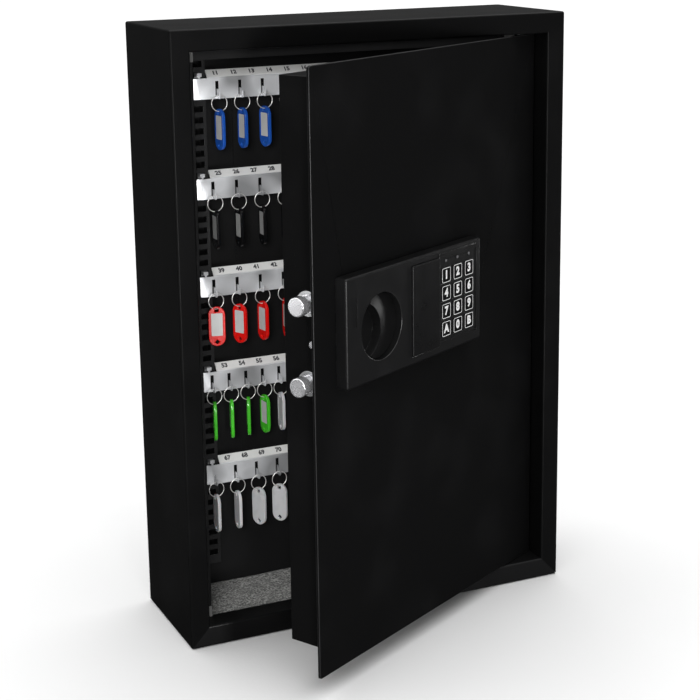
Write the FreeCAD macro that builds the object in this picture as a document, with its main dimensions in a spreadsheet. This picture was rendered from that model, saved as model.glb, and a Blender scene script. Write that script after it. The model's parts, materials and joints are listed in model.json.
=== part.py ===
"""Key cabinet with an electronic lock: parametric model, in millimetres.

Row frame: the origin is the centre of the outer back face, which lies on the wall. +X is to the
right, +Z is up and the door faces -Y. The door and everything on it is drawn closed, in door coordinates
(origin on the hinge pin's axis, free edge towards -X, outer face towards -Y), and is then swung open by the
door's own placement.
"""
import FreeCAD
import Part
import os
import re
from FreeCAD import Placement, Rotation, Vector

doc = FreeCAD.newDocument("key_cabinet")

# ---------------------------------------------------------------- driving dimensions
DIMENSIONS = (
    # cabinet
    ("cabinet_width", 380), ("cabinet_height", 550), ("cabinet_depth", 120),
    ("steel", 1.5), ("side_border", 18), ("end_border", 19), ("outer_bend", 2), ("inner_bend", 1.8),
    ("return_depth", 22), ("stop_height", 9), ("stop_end", 148), ("bumper_size", 10), ("bumper_thick", 1.2),
    ("wall_hole_radius", 4), ("wall_hole_span_x", 180), ("wall_hole_span_z", 365),
    ("wall_hole_rise", 27.5),
    ("mat_thick", 5), ("mat_clear", 1),
    # hinge
    ("pin_x", 161), ("pin_inset", 25.5), ("pin_radius", 3), ("pin_fit", 0.05), ("bush_radius", 5.6),
    ("bracket_thick", 3), ("bracket_width", 14), ("bracket_leg", 12), ("pin_engagement", 9), ("end_play", 0.3),
    # door
    ("door_angle", 28.5), ("plate_thick", 2.5), ("plate_face", 9), ("plate_free", 331.5),
    ("plate_hinge", 5.5), ("plate_half_height", 254.5), ("plate_corner", 3),
    ("tray_free", 321), ("tray_hinge", 5.5), ("tray_depth", 35.7), ("tray_top", 245), ("tray_bottom", -232),
    ("tray_steel", 1.2),
    # rails, bars and hooks
    ("rail_centre", 132.5), ("rail_width", 20), ("rail_front", 15.5), ("rail_bottom", -243), ("rail_top", 245),
    ("slot_centre", 131.5), ("slot_width", 12), ("slot_height", 5.5), ("slot_pitch", 10.15),
    ("slots_per_row", 9), ("bar_half", 130), ("bar_tab", 9.5), ("bar_height", 19), ("bar_front", 20),
    ("bar_steel", 1), ("top_bar", 222.5), ("label_half", 122), ("label_rise", 7), ("label_thick", 0.6),
    ("hook_slot_width", 3.2), ("hook_seat", 3), ("hook_reach", 4.5),
    # key rings and tags
    ("ring_radius", 7.4), ("ring_wire", 0.6), ("ring_gap", 0.3), ("tag_width", 15.5), ("tag_length", 37.5),
    ("tag_thick", 3), ("tag_hole", 1.7), ("tag_hole_inset", 3.4), ("tag_drop", 2.4),
    # lock panel
    ("panel_free", 303), ("panel_hinge", 104), ("panel_low", -10), ("panel_high", 83),
    ("panel_thick", 11.5), ("panel_edge", 2.5), ("knob_u", 255), ("knob_z", 34.5), ("knob_radius", 27.5),
    ("knob_gap", 1), ("knob_well", 9), ("shaft_radius", 4), ("shaft_gap", 0.35),
    ("cover_u", 191), ("cover_z", 37), ("cover_width", 41), ("cover_height", 79), ("cover_thick", 3.5),
    ("cover_proud", 1.5), ("key_u", 160.4), ("key_z", 59.4), ("key_pitch_u", 18), ("key_pitch_z", 16),
    ("key_size", 13.6), ("key_proud", 0.5), ("key_field", 0.4), ("led_z", 72.2), ("led_radius", 1.3),
    # bolt work
    ("bolt_tip", 336.5), ("bolt_length", 36), ("bolt_radius", 8), ("bolt_upper", 63.7),
    ("bolt_lower", -2.8), ("bolt_depth", 5), ("carrier_u", 305), ("plunger_u", 282),
    ("crank_radius", 12), ("crank_pin", 2.5),
    # batteries
    ("battery_radius", 7.1), ("battery_length", 50), ("battery_pitch", 15.2), ("battery_u", 153),
    ("battery_z", 20), ("battery_depth", 18), ("lid_gap", 0.3), ("lid_thick", 2),
)
sheet = doc.addObject("Spreadsheet::Sheet", "dims")
for line, (alias, number) in enumerate(DIMENSIONS, 1):
    sheet.set("A%d" % line, alias)
    sheet.set("B%d" % line, str(number))
    sheet.setAlias("B%d" % line, alias)
doc.recompute()
NAMES = {alias for alias, _ in DIMENSIONS}


def cell(alias):
    """The number in the sheet's cell with this alias."""
    return float(sheet.get(alias))


def formula(text):
    """An expression with each bare alias written as a reference to the sheet."""
    return re.sub(r"[a-z_]+", lambda m: "dims." + m.group() if m.group() in NAMES else m.group(), str(text))


# ---------------------------------------------------------------- building blocks
def bind(obj, **sizes):
    for prop, text in sizes.items():
        obj.setExpression(prop.replace("__", "."), formula(text))
    return obj


def place(obj, x, y, z):
    return bind(obj, Placement__Base__x=x, Placement__Base__y=y, Placement__Base__z=z)


def box(name, x, y, z):
    """A box from three (low, high) pairs of expressions."""
    obj = doc.addObject("Part::Box", name)
    sizes = ["(%s) - (%s)" % (high, low) for low, high in (x, y, z)]
    bind(obj, Length=sizes[0], Width=sizes[1], Height=sizes[2])
    return place(obj, x[0], y[0], z[0])


TURN = {"x": Rotation(Vector(0, 1, 0), 90), "y": Rotation(Vector(1, 0, 0), -90), "z": Rotation()}


def rod(name, axis, radius, length, start):
    """A cylinder that runs along +axis from the start point, three expressions."""
    obj = doc.addObject("Part::Cylinder", name)
    obj.Placement = Placement(Vector(), TURN[axis])
    bind(obj, Radius=radius, Height=length)
    return place(obj, *start)


def fuse(name, *parts):
    obj = doc.addObject("Part::MultiFuse", name)
    obj.Shapes = list(parts)
    return obj


def cut(name, base, *tools):
    obj = doc.addObject("Part::Cut", name)
    obj.Base = base
    obj.Tool = tools[0] if len(tools) == 1 else fuse(name + "_tools", *tools)
    return obj


def common(name, first, second):
    obj = doc.addObject("Part::MultiCommon", name)
    obj.Shapes = [first, second]
    return obj


def group(name, *parts):
    obj = doc.addObject("Part::Compound", name)
    obj.Links = list(parts)
    return obj


def round_edges(name, base, radius, wanted):
    """Fillet every edge of base that the test wanted(edge) picks."""
    doc.recompute()
    picked = [n for n, edge in enumerate(base.Shape.Edges, 1) if wanted(edge)]
    obj = doc.addObject("Part::Fillet", name)
    obj.Base = base
    obj.Edges = [(n, radius, radius) for n in picked]
    return obj


def solid(name, shape):
    obj = doc.addObject("Part::Feature", name)
    obj.Shape = shape
    return obj


def prism(points, direction):
    """A closed outline of points, extruded along direction."""
    outline = Part.makePolygon(points + points[:1])
    return Part.Face(outline).extrude(direction)


def along(edge, axis):
    """Whether a straight edge runs along the axis 0, 1 or 2."""
    if edge.Curve.TypeId != "Part::GeomLine":
        return False
    step = edge.Vertexes[1].Point - edge.Vertexes[0].Point
    return all(abs(step[other]) < 1e-6 for other in range(3) if other != axis)


def at(edge, axis, value):
    """Whether all of an edge lies at this coordinate."""
    return all(abs(vertex.Point[axis] - value) < 1e-6 for vertex in edge.Vertexes)


def facing(edge, value):
    """Whether an edge borders the front face at this Y or runs back from it."""
    return along(edge, 1) or at(edge, 1, value)


nodes = []


def node(obj, name):
    """Name a finished piece of the cabinet."""
    obj.Label = name
    nodes.append(obj)
    return obj


def door_node(obj, name):
    """Name a finished piece of the door and swing it open with the door."""
    moved = doc.addObject("Part::Compound", name + "_on_door")
    moved.Links = [obj]
    moved.Placement = Placement(Vector(), Rotation(Vector(0, 0, 1), 1))
    bind(moved, Placement__Rotation__Angle="door_angle")
    place(moved, "pin_x", "pin_inset - cabinet_depth", "0")
    return node(moved, name)


# ---------------------------------------------------------------- cabinet shell
HALF_WIDTH = cell("cabinet_width") / 2
HALF_HEIGHT = cell("cabinet_height") / 2
DEPTH = cell("cabinet_depth")
WIDE = "cabinet_width / 2"
HIGH = "cabinet_height / 2"
SIDE = "(cabinet_width / 2 - side_border)"
END = "(cabinet_height / 2 - end_border)"


def make_shell():
    """Four folded sides, mitred at the corners, each with its front border and return."""
    outer = box("shell_block", ("-" + WIDE, WIDE), ("-cabinet_depth", "0"), ("-" + HIGH, HIGH))

    rounded = round_edges("shell_bends", outer, cell("outer_bend"), lambda edge: facing(edge, -DEPTH))
    hollow = box("shell_hollow", ("steel - " + WIDE, WIDE + " - steel"), ("steel - cabinet_depth", "1"),
                 ("steel - " + HIGH, HIGH + " - steel"))
    skin = cut("shell_skin", rounded, hollow)
    sleeve = box("return_sleeve", ("-%s - steel" % SIDE, SIDE + " + steel"),
                 ("-cabinet_depth", "return_depth - cabinet_depth"), ("-%s - steel" % END, END + " + steel"))
    opening = box("door_opening", ("-" + SIDE, SIDE), ("-cabinet_depth - 1", "0"), ("-" + END, END))
    opened = cut("shell_open", fuse("shell_joined", skin, sleeve), opening)
    half_opening = HALF_WIDTH - cell("side_border") + 0.001
    half_rise = HALF_HEIGHT - cell("end_border") + 0.001

    def lip(edge):
        centre = edge.CenterOfMass
        return at(edge, 1, -DEPTH) and abs(centre.x) < half_opening and abs(centre.z) < half_rise

    shell = round_edges("shell", opened, cell("inner_bend"), lip)
    # each mitre plane runs from an outer corner through the corner of the opening to the middle
    slope = cell("end_border") / cell("side_border")
    far_x = 1.1 * HALF_WIDTH
    far_z = HALF_HEIGHT + 0.1 * HALF_WIDTH * slope
    meet_z = HALF_HEIGHT - HALF_WIDTH * slope
    outlines = {
        "side_left": [(-far_x, far_z), (0, meet_z), (0, -meet_z), (-far_x, -far_z)],
        "side_right": [(far_x, far_z), (0, meet_z), (0, -meet_z), (far_x, -far_z)],
        "side_top": [(-far_x, far_z), (far_x, far_z), (0, meet_z)],
        "side_bottom": [(-far_x, -far_z), (far_x, -far_z), (0, -meet_z)],
    }
    for name, outline in outlines.items():
        points = [Vector(x, -2 * DEPTH, z) for x, z in outline]
        wedge = solid(name + "_wedge", prism(points, Vector(0, 3 * DEPTH, 0)))
        node(common(name + "_cut", shell, wedge), name)


def make_back():
    inner = ("steel - " + WIDE, WIDE + " - steel")
    panel = box("back_sheet", inner, ("-steel", "0"), ("steel - " + HIGH, HIGH + " - steel"))
    holes = []
    for x in ("wall_hole_span_x / 2", "-wall_hole_span_x / 2"):
        for rise in ("wall_hole_span_z / 2", "-wall_hole_span_z / 2"):
            start = (x, "-2 * steel", "wall_hole_rise + " + rise)
            holes.append(rod("wall_hole", "y", "wall_hole_radius", "3 * steel", start))
    node(cut("back_cut", panel, *holes), "back_panel")


def make_stop():
    """Flanges that the door plate closes against, on the left and at the top, with bumpers on them."""
    y = ("return_depth - steel - cabinet_depth", "return_depth - cabinet_depth")
    inner_x = "-%s + stop_height" % SIDE
    left = box("stop_left", ("-" + SIDE, inner_x), y, ("-" + END, END))
    top = box("stop_top", (inner_x, "stop_end"), y, (END + " - stop_height", END))
    node(group("stops", left, top), "stop_flange")
    pad_y = ("%s - bumper_thick" % y[0], y[0])
    left_x = ("-" + SIDE, "-%s + stop_height" % SIDE)
    upper_z = (END + " - bumper_size", END)
    lower_z = ("-" + END, "-%s + bumper_size" % END)
    pads = [box("bumper", left_x, pad_y, upper_z), box("bumper", left_x, pad_y, lower_z),
            box("bumper", ("stop_end - bumper_size", "stop_end"), pad_y, (END + " - stop_height", END))]
    node(group("bumpers", *pads), "corner_bumpers")


PIN_Y = "pin_inset - cabinet_depth"


def make_hinge():
    """Brackets welded behind the border, with a pin in each that the door hangs on."""
    inside_x = WIDE + " - steel"
    back_y = PIN_Y + " + bracket_width"
    brackets = []
    pins = []
    for sign in ("", "-"):
        seat = (END, END + " + bracket_thick") if not sign else ("-%s - bracket_thick" % END, "-" + END)
        tab = box("hinge_tab", ("pin_x - bracket_width", inside_x),
                  ("return_depth - cabinet_depth", back_y), seat)
        hole = rod("hinge_hole", "z", "pin_radius", "3 * bracket_thick", ("pin_x", PIN_Y, seat[0] + " - 1"))
        # the lower leg ends above the mat
        leg_z = (END, HIGH + " - steel") if not sign else ("steel + mat_thick + 0.5 - " + HIGH, "-" + END)
        leg = box("hinge_leg", (inside_x + " - bracket_thick", inside_x),
                  (back_y + " - bracket_leg", back_y), leg_z)
        brackets.append(cut("hinge_bracket", fuse("hinge_angle", tab, leg), hole))
        low = "tray_top - pin_engagement" if not sign else "-%s - bracket_thick" % END
        high = END + " + bracket_thick" if not sign else "tray_bottom + pin_engagement"
        pins.append(rod("hinge_pin", "z", "pin_radius", "(%s) - (%s)" % (high, low), ("pin_x", PIN_Y, low)))
    node(group("hinge_bracket_pair", *brackets), "hinge_brackets")
    node(group("hinge_pin_pair", *pins), "hinge_pins")


# ---------------------------------------------------------------- rails, bars and labels
def make_rails():
    rails = []
    slots = int((cell("rail_top") - cell("rail_bottom")) / cell("slot_pitch")) - 1
    above = 1
    for sign in ("-", ""):
        x = ("%srail_centre - rail_width / 2" % sign, "%srail_centre + rail_width / 2" % sign)
        z = ("rail_bottom", "rail_top")
        blank = box("rail_blank", x, ("-rail_front", "-steel"), z)
        channel = box("rail_channel", (x[0] + " + steel", x[1] + " - steel"), ("steel - rail_front", "0"), z)
        tools = [channel]
        slot_x = ("%sslot_centre - slot_width / 2" % sign, "%sslot_centre + slot_width / 2" % sign)
        for step in range(slots):
            middle = "top_bar + 2.6 + (%d - %d) * slot_pitch" % (above, step)
            tools.append(box("rail_slot", slot_x, ("-rail_front - 1", "3 * steel - rail_front"),
                             (middle + " - slot_height / 2", middle + " + slot_height / 2")))
        rails.append(cut("rail", blank, *tools))
    node(group("rail_pair", *rails), "slotted_rails")


# X of the first hook on the left, hook pitch and number of hooks, bar by bar from the top
HOOK_ROWS = ((-113.5, 22, 11), (-120.5, 23, 11), (-122.8, 23.1, 11), (-127.5, 16.8, 16), (-128.5, 21.4, 12))


def hook_places(row):
    first, pitch, count = HOOK_ROWS[row]
    return [first + pitch * n for n in range(count)]


def bar_top(row):
    return "top_bar - %d * slots_per_row * slot_pitch" % row


def bar_top_value(row):
    return cell("top_bar") - row * cell("slots_per_row") * cell("slot_pitch")


def hook_fin(x, base_z):
    """One hook: an upright fin standing out of its slot, with a notch for the ring and a turned-up tip."""
    front = -cell("bar_front")
    seat = cell("hook_seat")
    reach = cell("hook_reach")
    outline = [(-1, 1.2), (0, 0.4), (reach + 2, 0.4), (reach + 3.5, 2), (reach + 3.1, 7), (reach + 2.1, 7),
               (reach + 1.7, seat), (reach - 1.7, seat), (reach - 1.9, 9), (-1, 9)]
    points = [Vector(x, front - forward, base_z + up) for forward, up in outline]
    return prism(points, Vector(cell("bar_steel"), 0, 0))


def bar_end(row, sign):
    """The end of a bar: a tab bent back to the rail, with a clip that drops into a slot of the rail."""
    top = bar_top_value(row)
    thick = cell("bar_steel")
    front = -cell("bar_front")
    back = -cell("rail_front") - thick
    inner = sign * cell("bar_half")
    outer = sign * (cell("bar_half") + cell("bar_tab"))
    plan = [(inner, front), (outer, back), (outer, back + thick), (inner, front + thick)]
    low = top - cell("bar_height")
    tab = prism([Vector(x, y, low) for x, y in plan], Vector(0, 0, cell("bar_height")))
    middle = sign * (cell("slot_centre") - 2)
    neck = Part.makeBox(2, 1.2, 3.8, Vector(middle - 1, front + 0.6, top - 1))
    clip = Part.makeBox(4.6, 7, 3.2, Vector(middle - 2.3, front + 0.6, top + 1.6))
    catch = Part.makeBox(4.6, 1.2, 5.6, Vector(middle - 2.3, front + 6.4, top - 0.8))
    return tab.fuse([neck, clip, catch])


def make_bars():
    strips = []
    for row in range(len(HOOK_ROWS)):
        name = "hook_bar_%d" % (row + 1)
        top = bar_top(row)
        bottom = top + " - bar_height"
        plate = box(name + "_plate", ("-bar_half", "bar_half"), ("-bar_front", "bar_steel - bar_front"),
                    (bottom, top))
        top_z = bar_top_value(row)
        front = -cell("bar_front")
        rise = cell("label_rise")
        thick = cell("bar_steel")
        skew = thick * 0.5 ** 0.5
        half = cell("label_half")
        profile = [Vector(-half, front, top_z - 0.2), Vector(-half, front + rise, top_z + rise - 0.2),
                   Vector(-half, front + rise + skew, top_z + rise - 0.2 - skew),
                   Vector(-half, front + thick, top_z - 0.2 - skew)]
        ledge = solid(name + "_ledge", prism(profile, Vector(2 * half, 0, 0)))
        slots = []
        fins = []
        base = top_z - cell("bar_height")
        wide = cell("hook_slot_width")
        for x in hook_places(row):
            # the slot is centred on its fin, which stays joined at the foot
            if abs(x) < cell("bar_half") - 2:
                corner = Vector(x + (thick - wide) / 2, front - 1, base + 2.5)
                slots.append(Part.makeBox(wide, 3, 13.5, corner))
            fins.append(hook_fin(x, base))
        punched = cut(name + "_punched", fuse(name + "_blank", plate, ledge),
                      solid(name + "_slots", Part.makeCompound(slots)))
        ends = [solid(name + "_end", bar_end(row, sign)) for sign in (-1, 1)]
        hooks = solid(name + "_hooks", Part.makeCompound(fins))
        node(fuse(name + "_whole", punched, hooks, *ends), name)
        lift = cell("label_thick") * 0.5 ** 0.5
        inset = 0.8
        label = [Vector(-half, front + inset, top_z - 0.2 + inset),
                 Vector(-half, front + rise - 0.2, top_z + rise - 0.4),
                 Vector(-half, front + rise - 0.2 - lift, top_z + rise - 0.4 + lift),
                 Vector(-half, front + inset - lift, top_z - 0.2 + inset + lift)]
        strips.append(solid("label_strip", prism(label, Vector(2 * half, 0, 0))))
    node(group("strips", *strips), "label_strips")


def make_mat():
    across = ("steel + mat_clear - " + WIDE, WIDE + " - steel - mat_clear")
    deep = ("return_depth + 2 * mat_clear - cabinet_depth", "-steel - mat_clear / 2")
    node(box("mat", across, deep, ("steel - " + HIGH, "steel + mat_thick - " + HIGH)), "felt_mat")


# ---------------------------------------------------------------- key rings and tags
# how far each tag is turned about the vertical, from the left; later tags repeat the pattern
TAG_TURNS = ((-83, -84, -79), (-90, -88, -92), (-25, -66, -80, -96), (-104, -104, -106, -84, -94),
             (-92, -92, -66, -59))


def tag_shape(x, y, top, turn):
    """An oblong tag with round ends and a hole at each end, hanging from its top hole."""
    half = cell("tag_width") / 2
    thick = cell("tag_thick")
    length = cell("tag_length")
    upper = -half
    lower = half - length
    body = Part.makeBox(2 * half, thick, upper - lower, Vector(-half, -thick / 2, lower))
    ends = [Part.makeCylinder(half, thick, Vector(0, -thick / 2, z), Vector(0, 1, 0)) for z in (upper, lower)]
    holes = [Part.makeCylinder(cell("tag_hole"), 2 * thick, Vector(0, -thick, z), Vector(0, 1, 0))
             for z in (-cell("tag_hole_inset"), cell("tag_hole_inset") - length)]
    shape = body.fuse(ends).removeSplitter().cut(holes)
    shape.Placement = Placement(Vector(x, y, top), Rotation(Vector(0, 0, 1), turn))
    return shape


def make_tags():
    wire = cell("ring_wire")
    radius = cell("ring_radius")
    gap = cell("ring_gap")
    y = -cell("bar_front") - cell("hook_reach")
    for row in range(len(HOOK_ROWS)):
        seat = bar_top_value(row) - cell("bar_height") + cell("hook_seat")
        centre_z = seat + gap + wire - radius
        rings = []
        tags = []
        turns = TAG_TURNS[row]
        for n, place_x in enumerate(hook_places(row)):
            x = place_x + cell("bar_steel") / 2
            centre = Vector(x, y, centre_z)
            rings.append(Part.makeTorus(radius, wire, centre, Vector(0, 1, 0)))
            clear = Part.makeTorus(radius, wire + gap, centre, Vector(0, 1, 0))
            tag = tag_shape(x, y, centre_z - radius + cell("tag_drop"), turns[n % len(turns)])
            tags.append(tag.cut(clear).Solids[0])
        node(solid("rings_%d" % (row + 1), Part.makeCompound(rings)), "rings_row_%d" % (row + 1))
        node(solid("tags_%d" % (row + 1), Part.makeCompound(tags)), "tags_row_%d" % (row + 1))


# ---------------------------------------------------------------- door
PLATE_V = ("-plate_face", "plate_thick - plate_face")
PANEL_BACK = "-plate_face"
PANEL_FRONT = "(-plate_face - panel_thick)"
TRAY_REAR = "(plate_thick - plate_face + tray_depth)"
BOLT_MIDDLE = "(bolt_upper + bolt_lower) / 2"


def make_door():
    plate = box("plate", ("-plate_free", "plate_hinge"), PLATE_V, ("-plate_half_height", "plate_half_height"))

    def free_corner(edge):
        return along(edge, 1) and edge.CenterOfMass.x < 0

    cornered = round_edges("plate_corners", plate, cell("plate_corner"), free_corner)
    holes = [rod("shaft_hole", "y", "shaft_radius + shaft_gap", "9", ("-knob_u", "-plate_face - 3", "knob_z")),
             rod("cable_hole", "y", "6", "9", ("-key_u + key_pitch_u", "-plate_face - 3", "knob_z")),
             rod("lock_hole", "y", "9.3", "9", ("-cover_u", "-plate_face - 3", "cover_z"))]
    for u, z in screw_places():
        holes.append(rod("screw_hole", "y", "2.1", "9", (u, "-plate_face - 3", z)))
    door_node(cut("plate_cut", cornered, *holes), "door_plate")

    rim = ("plate_thick - plate_face", TRAY_REAR)
    pan = box("pan", ("-tray_free", "tray_hinge"), rim, ("tray_bottom", "tray_top"))
    inside = box("pan_inside", ("tray_steel - tray_free", "tray_hinge - tray_steel"),
                 ("plate_thick - plate_face - 1", TRAY_REAR + " - tray_steel"),
                 ("tray_bottom + tray_steel", "tray_top - tray_steel"))
    tools = [inside]
    for z in ("bolt_upper", "bolt_lower"):
        tools.append(rod("bush_hole", "x", "bolt_radius + 1.2", "6", ("-tray_free - 2", "bolt_depth", z)))
    tools.append(rod("edge_stem_hole", "x", "1.6", "6", ("-tray_free - 2", "0", BOLT_MIDDLE)))
    tools.append(rod("pin_hole", "z", "pin_radius + pin_fit", "tray_top - tray_bottom + 20",
                     ("0", "0", "tray_bottom - 10")))
    tools.append(box("battery_door", ("-battery_u - 29", "-battery_u + 29"),
                     (TRAY_REAR + " - 3", TRAY_REAR + " + 1"), ("battery_z - 25", "battery_z + 25")))
    door_node(cut("pan_cut", pan, *tools), "door_tray")

    bushes = []
    for low, high in (("tray_top", "plate_half_height - end_play"),
                      ("end_play - plate_half_height", "tray_bottom")):
        tube = rod("bush_tube", "z", "bush_radius", "(%s) - (%s)" % (high, low), ("0", "0", low))
        bore = rod("bush_bore", "z", "pin_radius + pin_fit", "(%s) - (%s) + 4" % (high, low),
                   ("0", "0", low + " - 2"))
        bushes.append(cut("bush", tube, bore))
    door_node(group("bush_pair", *bushes), "hinge_bushes")


def screw_places():
    """The four panel screws, near the panel's corners."""
    levels = ("panel_low + 6", "panel_high - 6")
    return [(u, z) for u in ("10 - panel_free", "-panel_hinge - 4") for z in levels]


# ---------------------------------------------------------------- lock panel
KEY_ROWS = (("1", "2", "3"), ("4", "5", "6"), ("7", "8", "9"), ("a", "0", "b"))


def key_place(line, column):
    return "-key_u + %d * key_pitch_u" % column, "key_z - %d * key_pitch_z" % line


def square(name, u, z, half, v):
    """A box of this half width and half height about (u, z), through the depths v."""
    span_u = ("%s - %s" % (u, half), "%s + %s" % (u, half))
    span_z = ("%s - %s" % (z, half), "%s + %s" % (z, half))
    return box(name, span_u, v, span_z)


def make_panel():
    block = box("panel_block", ("-panel_free", "-panel_hinge"), (PANEL_FRONT, PANEL_BACK),
                ("panel_low", "panel_high"))

    front = -cell("plate_face") - cell("panel_thick")
    rounded = round_edges("panel_round", block, cell("panel_edge"), lambda edge: facing(edge, front))
    field = box("key_field", ("-key_u - 10", "-key_u + 48"),
                (PANEL_FRONT + " - key_field", PANEL_FRONT + " + 1"),
                ("key_z - 3 * key_pitch_z - 10.5", "key_z + 20"))
    well_v = PANEL_FRONT + " - 1"
    tools = [rod("knob_well", "y", "knob_radius + knob_gap", "knob_well + 1", ("-knob_u", well_v, "knob_z")),
             rod("knob_bore", "y", "shaft_radius + shaft_gap", "panel_thick + 4",
                 ("-knob_u", well_v, "knob_z")),
             rod("lock_bore", "y", "9.3", "panel_thick + 4", ("-cover_u", well_v, "cover_z")),
             box("cover_seat", ("-cover_u - cover_width / 2 - 0.3", "-cover_u + cover_width / 2 + 0.3"),
                 (well_v, PANEL_FRONT + " + cover_thick - cover_proud + 0.3"),
                 ("cover_z - cover_height / 2 - 0.3", "cover_z + cover_height / 2 + 0.3")),
             box("board_bay", ("-key_u - 12", "-key_u + 48"), (PANEL_FRONT + " + 4.5", PANEL_BACK + " + 1"),
                 ("key_z - 3 * key_pitch_z - 10", "key_z + 19"))]
    keys = {}
    for line, names in enumerate(KEY_ROWS):
        for column, name in enumerate(names):
            u, z = key_place(line, column)
            tools.append(square("key_hole", u, z, "(key_size / 2 + 0.3)", (well_v, PANEL_BACK + " + 1")))
            cap_v = (PANEL_FRONT + " - key_field - key_proud", PANEL_FRONT + " + 5")
            cap = square("cap_" + name, u, z, "key_size / 2", cap_v)
            cap_front = front - cell("key_field") - cell("key_proud")
            soft = round_edges("cap_round_" + name, cap, 0.8, lambda edge: facing(edge, cap_front))
            flange_v = (PANEL_FRONT + " + 4.8", PANEL_FRONT + " + 6")
            flange = square("flange_" + name, u, z, "(key_size / 2 + 1)", flange_v)
            keys[name] = fuse("key_solid_" + name, soft, flange)
    lenses = []
    for column in range(3):
        u = key_place(0, column)[0]
        tools.append(rod("led_hole", "y", "led_radius + 0.1", "panel_thick + 2", (u, well_v, "led_z")))
        lenses.append(rod("lens", "y", "led_radius", "7", (u, PANEL_FRONT + " - 0.7", "led_z")))
    screws = []
    for u, z in screw_places():
        tools.append(rod("panel_screw_hole", "y", "2.1", "7", (u, PANEL_BACK + " - 6", z)))
        shank = rod("screw_shank", "y", "2", "8.5", (u, "plate_thick - plate_face - 8.5", z))
        head = rod("screw_head", "y", "3.8", "2.4", (u, "plate_thick - plate_face", z))
        screws.append(fuse("screw", shank, head))
    door_node(cut("panel_cut", fuse("panel_solid", rounded, field), *tools), "lock_panel")
    door_node(group("lenses", *lenses), "indicator_lenses")
    for name, cap in keys.items():
        door_node(cap, "key_" + name)
    board = box("board", ("-key_u - 11.5", "-key_u + 47.5"), (PANEL_BACK + " - 2", PANEL_BACK + " - 0.4"),
                ("key_z - 3 * key_pitch_z - 9.5", "key_z + 18.5"))
    door_node(board, "keypad_board")
    rivet = rod("edge_rivet", "x", "3", "1.6", ("-tray_free - 1.6", "0", BOLT_MIDDLE))
    stem = rod("edge_stem", "x", "1.6", "4", ("-tray_free", "0", BOLT_MIDDLE))
    door_node(group("screw_set", fuse("edge_screw", rivet, stem), *screws), "screws")

    cover = box("cover", ("-cover_u - cover_width / 2", "-cover_u + cover_width / 2"),
                (PANEL_FRONT + " - cover_proud", PANEL_FRONT + " + cover_thick - cover_proud"),
                ("cover_z - cover_height / 2", "cover_z + cover_height / 2"))
    cover_front = front - cell("cover_proud")
    door_node(round_edges("cover_round", cover, 1.2, lambda edge: facing(edge, cover_front)), "lock_cover")

    lock_v = PANEL_FRONT + " + 3.6"
    barrel = rod("barrel", "y", "9", "20", ("-cover_u", lock_v, "cover_z"))
    nut = rod("barrel_nut", "y", "12", "3", ("-cover_u", "plate_thick - plate_face + 0.1", "cover_z"))
    bore = rod("plug_bore", "y", "5.55", "30", ("-cover_u", lock_v + " - 2", "cover_z"))
    door_node(cut("barrel_cut", fuse("barrel_solid", barrel, nut), bore), "emergency_lock_body")
    plug = rod("plug", "y", "5.5", "21", ("-cover_u", lock_v + " - 0.2", "cover_z"))
    keyway = box("keyway", ("-cover_u - 0.7", "-cover_u + 0.7"), (lock_v + " - 1", lock_v + " + 12"),
                 ("cover_z - 3.5", "cover_z + 3.5"))
    arm = box("plug_cam", ("-cover_u - 4", "-cover_u + 4"), (lock_v + " + 20.6", lock_v + " + 22.6"),
              ("cover_z - 5", "cover_z + 15"))
    door_node(cut("plug_cut", fuse("plug_solid", plug, arm), keyway), "emergency_lock_plug")


# ---------------------------------------------------------------- knob and bolt work
def make_knob():
    floor_v = PANEL_FRONT + " + knob_well - 0.4"
    disc = rod("knob_disc", "y", "knob_radius", "3", ("-knob_u", floor_v + " - 3", "knob_z"))
    # the grip is a web bowed towards the hinge, standing on the disc up to the panel's face
    radius = cell("knob_radius")
    reach = cell("knob_well") - 3.4
    bow = 46.0
    half = 24.0
    centre_u = -cell("knob_u") + 2 - bow
    front = -cell("plate_face") - cell("panel_thick")
    knob_z = cell("knob_z")
    inward = Vector(0, 1, 0)
    outer = Part.makeCylinder(bow + 2, reach + 0.5, Vector(centre_u, front, knob_z), inward)
    inner = Part.makeCylinder(bow - 2, reach + 1, Vector(centre_u, front - 0.2, knob_z), inward)
    window = Part.makeBox(2 * radius, 20, 2 * half, Vector(centre_u + bow - radius, front - 5, knob_z - half))
    grip = solid("knob_grip", outer.cut(inner).common(window))
    door_node(fuse("knob_solid", disc, grip), "knob")
    shaft = rod("shaft", "y", "shaft_radius", "plate_face + panel_thick - knob_well - 4",
                ("-knob_u", floor_v, "knob_z"))
    disc = rod("crank_disc", "y", "crank_radius + 4", "3", ("-knob_u", "-5.5", "knob_z"))
    pin = rod("crank_stud", "y", "crank_pin", "10.5",
              ("-knob_u - crank_radius * sqrt(0.5)", "-3", "knob_z + crank_radius * sqrt(0.5)"))
    door_node(fuse("crank", shaft, disc, pin), "knob_shaft")


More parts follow.
